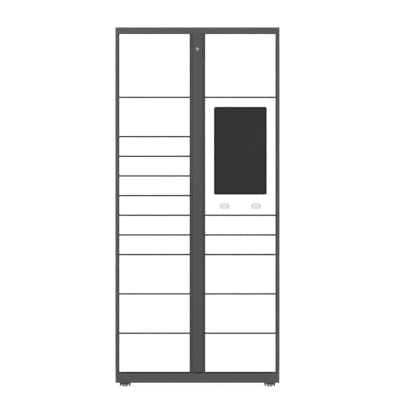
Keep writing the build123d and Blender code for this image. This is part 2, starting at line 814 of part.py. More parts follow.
def make_lock_plug():
    """Key plug with its keyway, the cam that hangs down when unlocked, and the cam's screw."""
    with BuildPart() as plug:
        with BuildSketch(Plane.XZ.offset(-PLUG_FRONT)):
            with Locations((0, LOCK_Z)):
                Circle(PLUG_RADIUS)
        extrude(amount=PLUG_FRONT - PLUG_BACK)
        with BuildSketch(Plane.XZ.offset(-PLUG_FRONT)):
            with Locations((0, LOCK_Z)):
                Rectangle(KEYWAY_WIDTH, KEYWAY_HEIGHT)
        extrude(amount=-KEYWAY_DEPTH, mode=Mode.SUBTRACT)
    with BuildPart() as cam:
        with BuildSketch(Plane.XZ.offset(-PLUG_BACK)):
            with Locations((0, LOCK_Z - CAM_LENGTH / 2)):
                SlotCenterToCenter(CAM_LENGTH, CAM_WIDTH, rotation=90)
        extrude(amount=-CAM_THICK)
    head = PLUG_BACK + CAM_THICK
    screw = disc(0, LOCK_Z, CAM_SCREW_RADIUS, head, head + CAM_SCREW_HEAD)
    save("lock_plug", plug.part, cam.part, screw)


# Feet ----------------------------------------------------------------------------


def make_foot(name, x, y):
    """Steel foot turned in one piece with its stud and the wheel that adjusts it by hand."""
    upright = Plane(origin=(x, y, 0), x_dir=(1, 0, 0), z_dir=(0, -1, 0))
    with BuildPart() as foot:
        with BuildSketch(upright):
            with BuildLine():
                Polyline(
                    (0, 0),
                    (FOOT_RADIUS - 1, 0),
                    (FOOT_RADIUS, 1),
                    (FOOT_RADIUS, FOOT_SHOULDER),
                    (WHEEL_RADIUS - 1, WHEEL_LOW),
                    (WHEEL_RADIUS, WHEEL_LOW + 1),
                    (WHEEL_RADIUS, FOOT_TOP - 1),
                    (WHEEL_RADIUS - 1, FOOT_TOP),
                    (STUD_RADIUS, FOOT_TOP),
                    (STUD_RADIUS, STUD_TOP - 1),
                    (STUD_RADIUS - 1, STUD_TOP),
                    (0, STUD_TOP),
                    close=True,
                )
            make_face()
        revolve(axis=Axis((x, y, 0), (0, 0, 1)))
    save(name, foot.part)


os.makedirs("parts", exist_ok=True)

make_side_panel("side_panel_left", -1)
make_side_panel("side_panel_right", 1)
make_top_cover()
make_base_frame()
make_back_panel()
make_shelves("shelves_left", -1, LEFT_STACK)
make_shelves("shelves_right", 1, RIGHT_STACK)
make_pillar_partitions()
make_hinge_pins()
make_lock_cases()
make_trunking()
make_control_computer()
make_power_supply()

for number, (low, high) in enumerate(stack_doors(LEFT_STACK), start=1):
    make_door(f"door_L{number:02}", -1, low, high)
    make_latch(f"latch_L{number:02}", -1, (low + high) / 2)

right_doors = stack_doors(RIGHT_STACK)
panel_span = right_doors.pop(1)
for number, (low, high) in enumerate(right_doors, start=1):
    make_door(f"door_R{number:02}", 1, low, high)
    make_latch(f"latch_R{number:02}", 1, (low + high) / 2)

make_control_panel(*panel_span)
make_latch("latch_panel", 1, sum(panel_span) / 2)
make_display_glass()
make_display_module()
make_scan_windows()
make_reader_modules()

make_pillar_cover()
make_lock_barrel()
make_lock_plug()

for foot_name, foot_x, foot_y in foot_places():
    make_foot(foot_name, foot_x, foot_y)
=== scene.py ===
"""Looks of the parcel locker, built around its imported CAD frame. Metres, front at -Y, +Z up."""

import json
import math

import bmesh
import bpy
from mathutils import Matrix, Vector


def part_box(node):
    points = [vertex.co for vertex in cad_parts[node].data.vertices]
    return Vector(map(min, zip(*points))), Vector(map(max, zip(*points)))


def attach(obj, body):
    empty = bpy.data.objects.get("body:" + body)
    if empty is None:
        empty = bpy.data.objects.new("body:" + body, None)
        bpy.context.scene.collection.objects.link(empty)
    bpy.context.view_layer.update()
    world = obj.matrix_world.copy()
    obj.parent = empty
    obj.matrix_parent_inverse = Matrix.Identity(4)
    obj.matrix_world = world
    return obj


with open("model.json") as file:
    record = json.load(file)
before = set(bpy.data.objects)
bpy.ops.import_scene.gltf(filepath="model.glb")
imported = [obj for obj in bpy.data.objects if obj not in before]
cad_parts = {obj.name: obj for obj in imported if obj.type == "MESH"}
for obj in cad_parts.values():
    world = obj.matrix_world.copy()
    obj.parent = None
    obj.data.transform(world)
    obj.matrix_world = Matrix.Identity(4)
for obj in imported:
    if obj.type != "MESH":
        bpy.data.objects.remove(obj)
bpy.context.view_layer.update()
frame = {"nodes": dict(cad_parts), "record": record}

RECORD = frame["record"]
BODIES = RECORD["behaviour"]["bodies"]
SLOT_OF = {part["node"]: part["material_slot"] for part in RECORD["subparts"]}
MOUNTS = {mount["name"]: mount for mount in RECORD["mounts"]}
DOORS = sorted(name for name in BODIES if name.startswith("door_"))
LATCHES = sorted(name for name in BODIES if name.startswith("latch_"))
FEET = sorted(name for name in BODIES if name.startswith("foot_"))

MM = 0.001


# Node helpers -----------------------------------------------------------------


class Shader:
    """A material under construction: a Principled shader plus short ways to add nodes."""

    def __init__(self, name):
        self.material = bpy.data.materials.new(name)
        self.material.use_nodes = True
        self.tree = self.material.node_tree
        self.principled = self.tree.nodes["Principled BSDF"]
        coordinates = self.tree.nodes.new("ShaderNodeTexCoord")
        self.place = coordinates.outputs["Object"]

    def set(self, **values):
        """Plain values of the shader's sockets, with _ for a space in their names."""
        for key, value in values.items():
            self.principled.inputs[key.replace("_", " ")].default_value = value

    def link(self, output, key):
        self.tree.links.new(output, self.principled.inputs[key])

    def stretched(self, scale):
        """Object coordinates multiplied along each axis."""
        node = self.tree.nodes.new("ShaderNodeMapping")
        node.inputs["Scale"].default_value = scale
        self.tree.links.new(self.place, node.inputs["Vector"])
        return node.outputs["Vector"]

    def noise(self, scale, detail=2.0, vector=None):
        """Smooth noise from 0 to 1, with about this many blots to a metre."""
        node = self.tree.nodes.new("ShaderNodeTexNoise")
        node.inputs["Scale"].default_value = scale
        node.inputs["Detail"].default_value = detail
        self.tree.links.new(vector or self.place, node.inputs["Vector"])
        return node.outputs["Fac"]

    def cells(self, scale):
        """Cells of one shade each, about this many to a metre."""
        node = self.tree.nodes.new("ShaderNodeTexVoronoi")
        node.inputs["Scale"].default_value = scale
        self.tree.links.new(self.place, node.inputs["Vector"])
        return node.outputs["Color"]

    def calculate(self, operation, first, second=0.0, third=0.0):
        """One sum or product of numbers and outputs."""
        node = self.tree.nodes.new("ShaderNodeMath")
        node.operation = operation
        for socket, value in zip(node.inputs, (first, second, third)):
            if isinstance(value, (int, float)):
                socket.default_value = value
            else:
                self.tree.links.new(value, socket)
        return node.outputs[0]

    def axis(self, name):
        """One of the object coordinates: X, Y or Z."""
        node = self.tree.nodes.new("ShaderNodeSeparateXYZ")
        self.tree.links.new(self.place, node.inputs[0])
        return node.outputs[name]

    def remap(self, value, low, high, to_low, to_high):
        """The value moved from one range to another, and kept inside it."""
        node = self.tree.nodes.new("ShaderNodeMapRange")
        node.inputs["From Min"].default_value = low
        node.inputs["From Max"].default_value = high
        node.inputs["To Min"].default_value = to_low
        node.inputs["To Max"].default_value = to_high
        self.tree.links.new(value, node.inputs["Value"])
        return node.outputs["Result"]

    def mix(self, factor, first, second):
        """Colour between two colours, each a tuple or an output."""
        node = self.tree.nodes.new("ShaderNodeMix")
        node.data_type = "RGBA"
        self.tree.links.new(factor, node.inputs["Factor"])
        for key, value in (("A", first), ("B", second)):
            socket = [s for s in node.inputs if s.name == key and s.type == "RGBA"][0]
            if isinstance(value, tuple):
                socket.default_value = (*value, 1.0)
            else:
                self.tree.links.new(value, socket)
        return [s for s in node.outputs if s.type == "RGBA"][0]

    def bump(self, height, distance, base=None):
        """Surface direction over a height of 0 to 1, which stands for this distance."""
        node = self.tree.nodes.new("ShaderNodeBump")
        node.inputs["Distance"].default_value = distance
        node.inputs["Strength"].default_value = 1.0
        self.tree.links.new(height, node.inputs["Height"])
        if base:
            self.tree.links.new(base, node.inputs["Normal"])
        return node.outputs["Normal"]

    def rounded_normal(self, radius):
        """Surface direction with its sharp edges rounded off."""
        bevel = self.tree.nodes.new("ShaderNodeBevel")
        bevel.samples = 4
        bevel.inputs["Radius"].default_value = radius
        return bevel.outputs["Normal"]

    def edges(self, radius):
        """About 1 where the surface turns over an edge within the radius, else 0."""
        along_face, over_edge = 0.98, 0.80
        geometry = self.tree.nodes.new("ShaderNodeNewGeometry")
        dot = self.tree.nodes.new("ShaderNodeVectorMath")
        dot.operation = "DOT_PRODUCT"
        self.tree.links.new(self.rounded_normal(radius), dot.inputs[0])
        self.tree.links.new(geometry.outputs["Normal"], dot.inputs[1])
        return self.remap(dot.outputs["Value"], along_face, over_edge, 0.0, 1.0)


# Materials --------------------------------------------------------------------


def powder_coat(name, colour, worn, roughness, grain, variation):
    """Sprayed and baked paint: orange peel, speckle and faint mottling, edges rubbed brighter."""
    edge_wear, edge_radius = 1.2 * MM, 0.8 * MM
    shader = Shader(name)
    fine = shader.noise(900.0, detail=1.0)
    mottle = shader.calculate("MULTIPLY", shader.noise(3.0, detail=4.0), 0.4)
    speckle = shader.calculate("MULTIPLY_ADD", fine, 0.6, mottle)
    shade = tuple(channel * (1.0 - variation) for channel in colour)
    body = shader.mix(shader.remap(speckle, 0.38, 0.62, 0.0, 1.0), shade, colour)
    rubbed = shader.calculate("MULTIPLY", shader.edges(edge_wear), shader.noise(60.0, detail=3.0))
    shader.link(shader.mix(rubbed, body, worn), "Base Color")
    shader.link(shader.remap(fine, 0.3, 0.7, roughness - 0.05, roughness + 0.06), "Roughness")
    peel = shader.noise(420.0, detail=2.0)
    shader.link(shader.bump(peel, grain, base=shader.rounded_normal(edge_radius)), "Normal")
    shader.set(Specular_IOR_Level=0.36)
    return shader.material


def dark_coat(name, colour, worn, roughness):
    """The dark grey paints, which share one grain."""
    return powder_coat(name, colour, worn, roughness, grain=0.20 * MM, variation=0.14)


def stamped_steel(name, colour, roughness):
    """Zinc-plated steel: crystal patches and upright drawn lines."""
    shader = Shader(name)
    patches = shader.cells(160.0)
    drawn = shader.noise(500.0, detail=2.0, vector=shader.stretched((1.0, 1.0, 0.04)))
    dark = tuple(channel * 0.80 for channel in colour)
    light = tuple(min(1.0, channel * 1.08) for channel in colour)
    shader.link(shader.mix(patches, dark, light), "Base Color")
    shader.link(shader.remap(drawn, 0.3, 0.7, roughness - 0.08, roughness + 0.10), "Roughness")
    shader.link(shader.bump(drawn, 0.02 * MM), "Normal")
    shader.set(Metallic=1.0)
    return shader.material


def satin_chrome(name, dark, light):
    """Plated lock parts, with fine marks along the lock's axis."""
    shader = Shader(name)
    marks = shader.noise(1500.0, detail=1.0, vector=shader.stretched((1.0, 0.05, 1.0)))
    shader.link(shader.mix(marks, dark, light), "Base Color")
    shader.link(shader.remap(marks, 0.3, 0.7, 0.16, 0.28), "Roughness")
    shader.link(shader.bump(marks, 0.01 * MM), "Normal")
    shader.set(Metallic=1.0)
    return shader.material


def screen_glass(name):
    """Dark glass: a printed black border round the slightly lighter panel of the display."""
    low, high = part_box("display_glass")
    border, soft = 7.5 * MM, 0.4 * MM
    middle = (low + high) / 2
    shader = Shader(name)
    across = shader.calculate("ABSOLUTE", shader.calculate("SUBTRACT", shader.axis("X"), middle.x))
    along = shader.calculate("ABSOLUTE", shader.calculate("SUBTRACT", shader.axis("Z"), middle.z))
    beyond_x = shader.calculate("SUBTRACT", across, (high.x - low.x) / 2 - border)
    beyond_z = shader.calculate("SUBTRACT", along, (high.z - low.z) / 2 - border)
    beyond = shader.calculate("MAXIMUM", beyond_x, beyond_z)
    in_border = shader.remap(beyond, -soft, soft, 0.0, 1.0)
    haze = shader.noise(6.0, detail=3.0)
    panel = shader.mix(haze, (0.0205, 0.0205, 0.0208), (0.0230, 0.0230, 0.0233))
    shader.link(shader.mix(in_border, panel, (0.002, 0.002, 0.002)), "Base Color")
    smears = shader.noise(14.0, detail=5.0, vector=shader.stretched((1.0, 1.0, 0.35)))
    shader.link(shader.remap(smears, 0.45, 0.75, 0.12, 0.24), "Roughness")
    shader.set(IOR=1.5, Specular_IOR_Level=0.25)
    return shader.material


def pale_window(name):
    """Milky plastic window, with painted shade that darkens it towards its pointed ends."""
    shader = Shader(name)
    low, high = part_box("scan_windows")
    half_length, shade_start, shade_full = 31 * MM, 16 * MM, 26 * MM
    middle = (low.x + high.x) / 2
    offset = (high.x - low.x) / 2 - half_length
    from_middle = shader.calculate("ABSOLUTE", shader.calculate("SUBTRACT", shader.axis("X"), middle))
    from_centre = shader.calculate("ABSOLUTE", shader.calculate("SUBTRACT", from_middle, offset))
    painted_end_shade = shader.remap(from_centre, shade_start, shade_full, 0.0, 1.0)
    # Painted shade: the colour darkens towards each pointed end of the window.
    shader.link(shader.mix(painted_end_shade, (0.65, 0.69, 0.62), (0.51, 0.53, 0.49)), "Base Color")
    grain = shader.noise(250.0, detail=3.0)
    shader.link(shader.remap(grain, 0.3, 0.7, 0.16, 0.26), "Roughness")
    shader.set(Coat_Weight=0.4)
    return shader.material


def moulded_plastic(name, colour, roughness):
    """Spark-eroded moulded plastic."""
    shader = Shader(name)
    grain = shader.noise(700.0, detail=3.0)
    blotch = shader.noise(25.0, detail=2.0)
    dark = tuple(channel * 0.85 for channel in colour)
    shader.link(shader.mix(blotch, dark, colour), "Base Color")
    shader.link(shader.remap(grain, 0.3, 0.7, roughness - 0.06, roughness + 0.08), "Roughness")
    shader.link(shader.bump(grain, 0.03 * MM), "Normal")
    return shader.material


def anodised(name, colour, roughness):
    """Anodised casing with fine blasting marks."""
    shader = Shader(name)
    blast = shader.noise(1100.0, detail=2.0)
    blotch = shader.noise(18.0, detail=3.0)
    dark = tuple(channel * 0.86 for channel in colour)
    shader.link(shader.mix(blotch, dark, colour), "Base Color")
    shader.link(shader.remap(blast, 0.3, 0.7, roughness - 0.05, roughness + 0.08), "Roughness")
    shader.link(shader.bump(blast, 0.015 * MM), "Normal")
    shader.set(Metallic=0.9)
    return shader.material


def foam_tape(name):
    """Black closed-cell foam tape."""
    shader = Shader(name)
    pores = shader.cells(2500.0)
    shader.link(shader.mix(pores, (0.010, 0.010, 0.010), (0.020, 0.020, 0.021)), "Base Color")
    shader.link(shader.remap(shader.noise(900.0), 0.3, 0.7, 0.75, 0.90), "Roughness")
    shader.link(shader.bump(shader.noise(1800.0), 0.05 * MM), "Normal")
    return shader.material


MATERIALS = {
    "frame_paint": dark_coat("frame_paint", (0.063, 0.063, 0.065), (0.12, 0.12, 0.12), 0.58),
    "door_paint": powder_coat(
        "door_paint", (0.90, 0.90, 0.89), (0.95, 0.95, 0.94), 0.46, grain=0.12 * MM, variation=0.04
    ),
    "inner_steel": dark_coat("inner_steel", (0.103, 0.103, 0.107), (0.17, 0.17, 0.17), 0.55),
    "zinc": stamped_steel("zinc", (0.66, 0.66, 0.65), 0.36),
    "lock_steel": stamped_steel("lock_steel", (0.50, 0.50, 0.51), 0.38),
    "lock_chrome": satin_chrome("lock_chrome", (0.50, 0.50, 0.49), (0.62, 0.62, 0.58)),
    "screen_glass": screen_glass("screen_glass"),
    "window": pale_window("window"),
    "module_black": moulded_plastic("module_black", (0.025, 0.025, 0.026), 0.5),
    "electronics": anodised("electronics", (0.32, 0.33, 0.34), 0.42),
    "duct_plastic": moulded_plastic("duct_plastic", (0.30, 0.30, 0.31), 0.5),
}
FOAM = foam_tape("foam_tape")
RUBBER = moulded_plastic("rubber", (0.020, 0.020, 0.021), 0.7)
SOCKET = moulded_plastic("socket", (0.62, 0.61, 0.56), 0.45)

# Nodes that look a little different from the rest of their slot
# Painted shade: the feet get a darker copy of the zinc, for the shade they stand in under the cabinet.
SHADED_FEET_ZINC = stamped_steel("foot_steel", (0.42, 0.42, 0.41), 0.40)
VARIANTS = {
    # Painted shade: the pillar cover and its flanges get darker copies of the frame paint, darkest on the
    # flanges beside the door gaps.
    "pillar_cover": dark_coat("cover_shaded_paint", (0.053, 0.053, 0.055), (0.11, 0.11, 0.11), 0.56),
    "pillar_partitions": dark_coat("flange_shaded_paint", (0.045, 0.045, 0.047), (0.10, 0.10, 0.10), 0.58),
    "lock_plug": satin_chrome("key_face", (0.36, 0.355, 0.34), (0.50, 0.49, 0.45)),
    **{name: SHADED_FEET_ZINC for name in FEET},
}

for node_name, node_object in frame["nodes"].items():
    node_object.data.materials.clear()
    node_object.data.materials.append(VARIANTS.get(node_name, MATERIALS[SLOT_OF[node_name]]))


# Places taken from the frame -----------------------------------------------------


DOOR_THICK = 18 * MM
FRAME_DEPTH = 20 * MM
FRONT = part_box("door_L01")[0].y
DOOR_BACK = FRONT + DOOR_THICK
FRAME_BACK = FRONT + FRAME_DEPTH
PANEL_INSIDE = FRONT + 2 * MM
COVER_INSIDE = FRONT + 1.5 * MM
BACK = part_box("back_panel")[1].y
BACK_INSIDE = BACK - 1.5 * MM
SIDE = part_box("side_panel_right")[1].x
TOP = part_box("top_cover")[1].z
COLUMNS = {"left": -1, "right": 1}


def door_names(column):
    """The doors of one column, the control panel among them."""
    letter = {"left": "L", "right": "R"}[column]
    names = [name for name in DOORS if name[5] == letter]
    return names + ["control_panel"] if column == "right" else names


def door_gaps(column):
    """Middle heights of the gaps between the doors of one column."""
    spans = sorted((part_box(name) for name in door_names(column)), key=lambda span: span[0].z)
    return [(below[1].z + above[0].z) / 2 for below, above in zip(spans, spans[1:])]


def spread(first, last, pitch):
    """Evenly spaced places from first to last, about one pitch apart."""
    count = max(1, round((last - first) / pitch))
    return [first + (last - first) * step / count for step in range(count + 1)]


# Points on the object's surfaces, from two directions along the surface and a height above it


def on_front(u, v, height):
    return (u, FRONT - height, v)


def on_door_back(u, v, height):
    return (u, DOOR_BACK + height, v)


def on_panel_inside(u, v, height):
    return (u, PANEL_INSIDE + height, v)


def on_cover_inside(u, v, height):
    return (u, COVER_INSIDE + height, v)


def on_back(u, v, height):
    return (u, BACK + height, v)


def on_back_inside(u, v, height):
    return (u, BACK_INSIDE - height, v)


def on_top(u, v, height):
    return (u, v, TOP + height)


def on_left_side(u, v, height):
    return (-SIDE - height, u, v)


def on_right_side(u, v, height):
    return (SIDE + height, u, v)


def on_lock_cases(side):
    """The faces of the lock cases on one side that look at the pillar's middle."""
    from_middle = 11.5 * MM
    return lambda u, v, height: (side * (from_middle - height), u, v)


# Profiles: lists of (radius, height above the surface) ------------------------------


# How far the lowest edge of a plate is sunk into the surface under it
SUNK = 0.1 * MM

RIVET = [(2.7 * MM, -0.2 * MM), (2.7 * MM, 0.2 * MM), (2.1 * MM, 0.8 * MM), (0.8 * MM, 1.1 * MM)]
SCREW = [
    (3.2 * MM, -0.2 * MM),
    (3.2 * MM, 1.0 * MM),
    (2.7 * MM, 1.5 * MM),
    (1.5 * MM, 1.6 * MM),
    (1.3 * MM, 0.6 * MM),
]
CAP = [
    (6.6 * MM, -3.6 * MM),
    (6.6 * MM, -2.6 * MM),
    (5.3 * MM, -1.6 * MM),
    (5.3 * MM, 0.6 * MM),
    (8.2 * MM, 1.3 * MM),
    (8.2 * MM, 2.0 * MM),
    (6.8 * MM, 3.0 * MM),
    (3.0 * MM, 3.5 * MM),
]
GLAND_BLANK = [(11.7 * MM, -4.6 * MM), (11.7 * MM, 3.4 * MM), (10.6 * MM, 4.2 * MM), (4.0 * MM, 4.4 * MM)]
FOOT_PAD = [(14.2 * MM, 0.0), (15.0 * MM, 0.6 * MM), (15.0 * MM, 2.2 * MM), (14.6 * MM, 2.6 * MM)]

SOCKET_BEVEL = 0.8 * MM

# The foot's wheel: height above the foot's lowest point, and how far its teeth stand proud
WHEEL_RADIUS = 19.9 * MM
KNURL_LEVELS = [(10.2 * MM, 0.1 * MM), (10.6 * MM, 0.6 * MM), (12.4 * MM, 0.6 * MM), (12.8 * MM, 0.1 * MM)]


# Mesh helpers ------------------------------------------------------------------


def add_piece(name, mesh_data, body, slot, material=None, crease=35.0):
    """Turns a bmesh into a piece that rides on a body, smooth except over sharp edges."""
    mesh = bpy.data.meshes.new(name)
    bmesh.ops.recalc_face_normals(mesh_data, faces=mesh_data.faces)
    mesh_data.to_mesh(mesh)
    mesh_data.free()
    mesh.shade_smooth()
    mesh.set_sharp_from_angle(angle=math.radians(crease))
    mesh.materials.append(material or MATERIALS[slot])
    piece = bpy.data.objects.new(name, mesh)
    bpy.context.collection.objects.link(piece)
    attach(piece, body)


def add_block(mesh_data, low, high, bevel):
    """A box between two corners, with rounded edges."""
    made = bmesh.ops.create_cube(mesh_data, size=1.0)["verts"]
    low, high = Vector(low), Vector(high)
    for vertex in made:
        vertex.co = (low + high) / 2 + vertex.co * (high - low)
    edges = list({edge for vertex in made for edge in vertex.link_edges})
    bmesh.ops.bevel(mesh_data, geom=edges, offset=bevel, segments=2, affect="EDGES")


def join_rings(mesh_data, rings, capped):
    """Faces between neighbouring rings of points; the ends are capped, or joined to each other."""
    count = len(rings[0])
    made = [[mesh_data.verts.new(point) for point in ring] for ring in rings]
    pairs = list(zip(made, made[1:]))
    if not capped:
        pairs.append((made[-1], made[0]))
    for lower, upper in pairs:
        for i in range(count):
            j = (i + 1) % count
            mesh_data.faces.new((lower[i], lower[j], upper[j], upper[i]))
    if capped:
        mesh_data.faces.new(made[0][::-1])
        mesh_data.faces.new(made[-1])


def circle(u, v, radius, steps):
    """Points round a circle, in the surface's own two directions."""
    angles = [2 * math.pi * step / steps for step in range(steps)]
    return [(u + radius * math.cos(angle), v + radius * math.sin(angle)) for angle in angles]


def add_round(mesh_data, place, centre, profile, steps):
    """A turned piece on a surface: profile lists (radius, height above the surface)."""
    rings = []
    for radius, height in profile:
        rings.append([place(u, v, height) for u, v in circle(*centre, radius, steps)])
    join_rings(mesh_data, rings, capped=True)


def add_washer(mesh_data, place, centre, outer, inner, thick, steps=32):
    """A flat ring on a surface."""
    rings = []
    for radius, height in ((outer, -SUNK), (outer, thick), (inner, thick), (inner, -SUNK)):
        rings.append([place(u, v, height) for u, v in circle(*centre, radius, steps)])
    join_rings(mesh_data, rings, capped=False)


def rounded_outline(centre, width, height, radius):
    """Points of a rectangle with rounded corners, in the surface's own two directions."""
    steps = 5
    points = []
    corners = ((1, 1), (-1, 1), (-1, -1), (1, -1))
    for quarter, (side_u, side_v) in enumerate(corners):
        corner_u = centre[0] + side_u * (width / 2 - radius)
        corner_v = centre[1] + side_v * (height / 2 - radius)
        for step in range(steps + 1):
            angle = math.pi / 2 * (quarter + step / steps)
            points.append((corner_u + radius * math.cos(angle), corner_v + radius * math.sin(angle)))
    return points


def add_raised(mesh_data, place, centre, width, height, radius, levels):
    """A pressed or stepped shape on a surface: levels lists (inset, height above the surface)."""
    least_radius = 0.2 * MM
    rings = []
    for inset, rise in levels:
        corner = max(radius - inset, least_radius)
        outline = rounded_outline(centre, width - 2 * inset, height - 2 * inset, corner)
        rings.append([place(u, v, rise) for u, v in outline])
    join_rings(mesh_data, rings, capped=True)


def pressed(rise, slope):
    """Levels of a shape pressed out of sheet: a soft foot, a slope and a soft shoulder."""
    sunk, lip = 0.2 * MM, 0.03 * MM
    return [
        (0.0, -sunk),
        (0.0, lip),
        (slope * 0.3, rise * 0.15),
        (slope * 0.7, rise * 0.85),
        (slope, rise),
    ]


def slab(thick):
    """Levels of a flat plate with a broken edge."""
    edge = 0.3 * MM
    return [(0.0, -SUNK), (0.0, thick - edge), (edge, thick)]


def add_rivet(mesh_data, place, centre, rise=0.0, wide=1.0):
    """A domed rivet head on something that stands this much above the surface."""
    profile = [(radius * wide, height + rise) for radius, height in RIVET]
    add_round(mesh_data, place, centre, profile, 12)


def add_screw(mesh_data, place, centre, rise, wide=1.0, tall=1.0, steps=14):
    """A screw head with a recess, on something that stands this much above the surface."""
    profile = [(radius * wide, height * tall + rise) for radius, height in SCREW]
    add_round(mesh_data, place, centre, profile, steps)


# Pieces that the CAD frame leaves to the looks ---------------------------------------


def add_seals_and_gap_shade():
    """Black foam tape along the door stops: door seals, near black so that they also give the painted shade
    inside the gaps between the doors.
    """
    inner, outer = 41.5 * MM, 435.5 * MM
    half, thick, end_height, end_gap = 11.0 * MM, 0.4 * MM, 13.0 * MM, 0.5 * MM
    bevel = 0.15 * MM
    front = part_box("shelves_left")[0].y
    base_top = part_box("hinge_pins")[0].z
    rail_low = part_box("hinge_pins")[1].z
    for column, side in COLUMNS.items():
        tape = bmesh.new()
        spans = [(line - half, line + half) for line in door_gaps(column)]
        # The strips along the base and under the top rail give the same painted shade to the lowest and
        # highest gaps.
        spans += [(base_top + end_gap, base_top + end_height), (rail_low - end_height, rail_low - end_gap)]
        for low, high in spans:
            near, far = sorted((side * inner, side * outer))
            add_block(tape, (near, front - thick, low), (far, front + SUNK, high), bevel)
        add_piece(f"door_seal_{column}", tape, "cabinet", "module_black", FOAM)


def add_door_liner(name, side):
    """Pressed liner on the back of one door, with its rivets."""
    near, far, shorter = 66 * MM, 438 * MM, 38 * MM
    rise, slope, corner = 3 * MM, 5 * MM, 10 * MM
    rivet_u, rivet_v, rivet_pitch = 22 * MM, 14 * MM, 110 * MM
    low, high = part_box(name)
    middle_z = (low.z + high.z) / 2
    tall = high.z - low.z - shorter
    centre = (side * (near + far) / 2, middle_z)
    liner = bmesh.new()
    add_raised(liner, on_door_back, centre, far - near, tall, corner, pressed(rise, slope))
    for u in spread(near + rivet_u, far - rivet_u, rivet_pitch):
        for v in (middle_z - tall / 2 + rivet_v, middle_z + tall / 2 - rivet_v):
            add_rivet(liner, on_door_back, (side * u, v), rise)
    add_piece(f"{name}_liner", liner, name, "door_paint")


def add_striker_plate(name, side):
    """Zinc plates above and below the staple, each held by a screw."""
    centre_x, from_staple, screw_beyond = side * 53 * MM, 16.5 * MM, 2 * MM
    wide, tall, corner, thick = 13 * MM, 18 * MM, 2 * MM, 1.2 * MM
    low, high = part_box(name)
    middle_z = (low.z + high.z) / 2
    plate = bmesh.new()
    for direction in (-1, 1):
        centre = (centre_x, middle_z + direction * from_staple)
        add_raised(plate, on_door_back, centre, wide, tall, corner, slab(thick))
        add_screw(plate, on_door_back, (centre_x, centre[1] + direction * screw_beyond), thick)
    add_piece(f"{name}_striker_plate", plate, name, "zinc")


def add_control_panel_bars():
    """Pressed stiffeners above and below the display, inside the control panel."""
    wide, corner, rise, slope = 20 * MM, 3 * MM, 10 * MM, 4 * MM
    from_module, hinge_side, lock_side = 16 * MM, 4 * MM, 22 * MM
    panel_low, panel_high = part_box("control_panel")
    module_low, module_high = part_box("display_module")
    low_x, high_x = panel_low.x + lock_side, panel_high.x - hinge_side
    bars = bmesh.new()
    for z in (module_low.z - from_module, module_high.z + from_module):
        middle = ((low_x + high_x) / 2, z)
        add_raised(bars, on_panel_inside, middle, high_x - low_x, wide, corner, pressed(rise, slope))
    add_piece("control_panel_bars", bars, "control_panel", "door_paint")


def add_display_clamps():
    """Zinc clamps with a screw each, along both sides of the display."""
    inward, outward, half_tall, thick = 10 * MM, 11 * MM, 9 * MM, 16 * MM
    from_end, pitch = 60 * MM, 140 * MM
    module_low, module_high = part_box("display_module")
    places = []
    for x, side in ((module_low.x, -1), (module_high.x, 1)):
        near, far = sorted((x - side * inward, x + side * outward))
        for z in spread(module_low.z + from_end, module_high.z - from_end, pitch):
            places.append((near, far, z))
    clamps = bmesh.new()
    # The screws come first, because faces added after a bevel change their order from run to run
    for near, far, z in places:
        add_screw(clamps, on_panel_inside, ((near + far) / 2, z), thick)
    for near, far, z in places:
        low, high = (near, PANEL_INSIDE, z - half_tall), (far, PANEL_INSIDE + thick, z + half_tall)
        add_block(clamps, low, high, 1 * MM)
    add_piece("display_clamps", clamps, "control_panel", "zinc")


def add_panel_sockets():
    """A row of sockets under the housing on the display's back, and one behind each reader."""
    count, pitch, housing_rise, from_end = 4, 38 * MM, 71 * MM, 38 * MM
    module_low, module_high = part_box("display_module")
    reader_low, reader_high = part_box("reader_modules")
    back, housing_z = module_high.y, module_low.z + housing_rise
    sockets = bmesh.new()
    for step in range(count):
        x = (module_low.x + module_high.x) / 2 + (step - (count - 1) / 2) * pitch
        low = (x - 11 * MM, back - 18 * MM, housing_z - 7 * MM)
        high = (x + 11 * MM, back - 8 * MM, housing_z + 1 * MM)
        add_block(sockets, low, high, SOCKET_BEVEL)
    middle_z = (reader_low.z + reader_high.z) / 2
    for x in (reader_low.x + from_end, reader_high.x - from_end):
        low = (x - 9 * MM, reader_high.y - 1 * MM, middle_z - 5 * MM)
        high = (x + 9 * MM, reader_high.y + 6 * MM, middle_z + 5 * MM)
        add_block(sockets, low, high, SOCKET_BEVEL)
    add_piece("panel_sockets", sockets, "control_panel", "electronics", SOCKET)


def latch_height(name):
    low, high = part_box(name)
    return (low.z + high.z) / 2


def latch_side(name):
    low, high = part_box(name)
    return 1 if low.x + high.x > 0 else -1


def add_lock_case_fittings():
    """Cover plate, two screws and a socket on each of the electric locks."""
    wide, tall, corner, thick = 48 * MM, 34 * MM, 3 * MM, 0.8 * MM
    screw_u, screw_v = 19 * MM, 12 * MM
    front, back = -190 * MM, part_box("lock_cases")[1].y
    socket_near, socket_far = 18 * MM, 34 * MM
    middle_y = (front + back) / 2
    plates = bmesh.new()
    sockets = bmesh.new()
    for name in LATCHES:
        side, z = latch_side(name), latch_height(name)
        on_case = on_lock_cases(side)
        add_raised(plates, on_case, (middle_y, z), wide, tall, corner, slab(thick))
        for way in (-1, 1):
            place = (middle_y + way * screw_u, z + way * screw_v)
            add_screw(plates, on_case, place, thick, wide=0.8, tall=0.8, steps=12)
        near, far = sorted((side * socket_near, side * socket_far))
        low, high = (near, back - 1 * MM, z - 6 * MM), (far, back + 9 * MM, z + 6 * MM)
        add_block(sockets, low, high, SOCKET_BEVEL)
    add_piece("lock_case_plates", plates, "cabinet", "zinc")
    add_piece("lock_case_sockets", sockets, "cabinet", "electronics", SOCKET)


